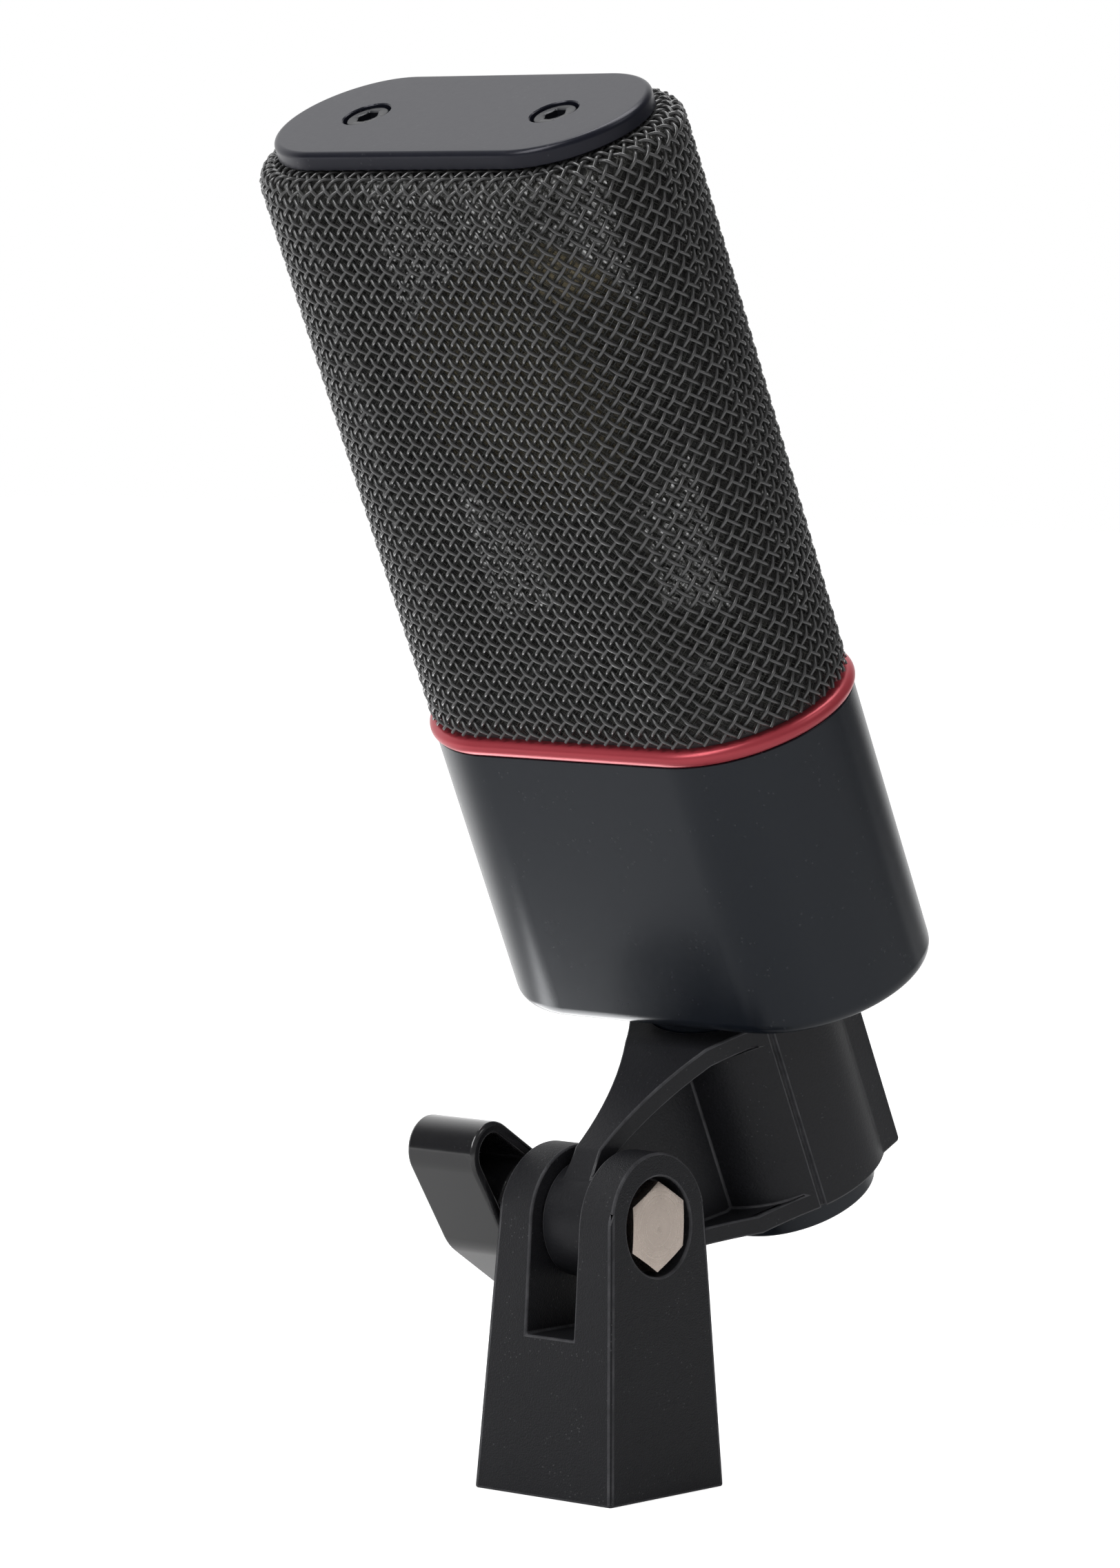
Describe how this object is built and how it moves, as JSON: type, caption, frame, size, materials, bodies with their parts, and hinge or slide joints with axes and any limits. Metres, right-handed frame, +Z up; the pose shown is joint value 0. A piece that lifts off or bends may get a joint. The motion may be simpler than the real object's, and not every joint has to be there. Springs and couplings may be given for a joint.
{
  "type": "condenser microphone",
  "caption": "Side-address studio condenser microphone with a wire mesh basket, held in a tilting swivel stand clip with a wing knob and a threaded foot.",
  "frame": {"origin": "centre of the foot of the stand clip's post, where the stand's thread enters", "axes": "+Z up out of the stand, X along the hinge bolt with its hex head on +X and the wing knob on -X, -Y towards the front, to which the microphone leans"},
  "size_m": [0.062, 0.0904, 0.1782],
  "materials": {
    "post_plastic": "fine-textured matte black",
    "clip_plastic": "satin black",
    "knob_plastic": "glossy black",
    "bolt_steel": "turned, warm grey",
    "washer_steel": "plain zinc",
    "brass": "machined",
    "capsule_brass": "machined",
    "body_paint": "satin blue-black",
    "cap_paint": "satin blue-black",
    "cap_screw_black": "black oxide",
    "ring_red": "glossy metallic red",
    "mesh_wire": "glossy charcoal wire",
    "mesh_fine": "fine dark gauze",
    "frame_metal": "dark die casting",
    "chassis_metal": "satin",
    "screw_steel": "zinc",
    "pin_metal": "gold plated",
    "insulator_plastic": "matte black",
    "film_gold": "gold-sputtered film",
    "saddle_plastic": "matte black",
    "board_green": "solder mask",
    "transformer_steel": "lacquered",
    "capacitor_film": "dipped",
    "switch_plastic": "matte black",
    "slider_plastic": "light grey",
    "lead_wire": "thin insulated wire",
    "output_wire": "thin insulated wire"
  },
  "bodies": {
    "stand": {"post": "post_plastic", "thread_adapter": "brass", "hinge_bolt": "bolt_steel"},
    "clamp": {"clamp_washer": "washer_steel"},
    "knob": {"wing_knob": "knob_plastic", "knob_nut": "brass"},
    "clip": {"clip": "clip_plastic"},
    "low_cut": {"low_cut_slider": "slider_plastic"},
    "pad": {"pad_slider": "slider_plastic"},
    "microphone": {"capsule_ring": "capsule_brass", "backplates": "capsule_brass", "clamp_rings": "capsule_brass", "capsule_screws": "capsule_brass", "body_shell": "body_paint", "connector_barrel": "body_paint", "top_cap": "cap_paint", "cap_screws": "cap_screw_black", "trim_ring": "ring_red", "mesh_outer": "mesh_wire", "mesh_inner": "mesh_fine", "grille_frame": "frame_metal", "deck_plate": "chassis_metal", "base_plate": "chassis_metal", "chassis_rails": "chassis_metal", "barrel_screw": "screw_steel", "frame_screws": "screw_steel", "deck_screws": "screw_steel", "saddle_screws": "screw_steel", "base_screws": "screw_steel", "board_screws": "screw_steel", "connector_pins": "pin_metal", "connector_insulator": "insulator_plastic", "diaphragm_front": "film_gold", "diaphragm_rear": "film_gold", "capsule_saddle": "saddle_plastic", "circuit_board": "board_green", "transformer": "transformer_steel", "capacitors": "capacitor_film", "switch_housings": "switch_plastic", "capsule_leads": "lead_wire", "output_wires": "output_wire"}
  },
  "joints": [
    {"name": "clip_tilt", "type": "hinge", "parent": "stand", "child": "clip", "pos_m": [0, 0, 0.0342], "axis": [1, 0, 0], "range_deg": [-38, 120]},
    {"name": "mic_spin", "type": "hinge", "parent": "clip", "child": "microphone", "pos_m": [0, 0.0314, 0.04965], "axis": [0, -0.4415, 0.8973], "continuous": true},
    {"name": "knob_travel", "type": "slide", "parent": "stand", "child": "clamp", "axis": [-1, 0, 0], "range_m": [0, 0.001]},
    {"name": "knob_turn", "type": "hinge", "parent": "clamp", "child": "knob", "pos_m": [-0.016, 0, 0.0342], "axis": [-1, 0, 0], "range_deg": [0, 360]},
    {"name": "low_cut_slide", "type": "slide", "parent": "microphone", "child": "low_cut", "axis": [1, 0, 0], "range_m": [0, 0.002]},
    {"name": "pad_slide", "type": "slide", "parent": "microphone", "child": "pad", "axis": [1, 0, 0], "range_m": [0, 0.002]}
  ],
  "couplings": [
    {"joint": "knob_travel", "follows": "knob_turn", "m_per_rad": 0.00015915}
  ]
}
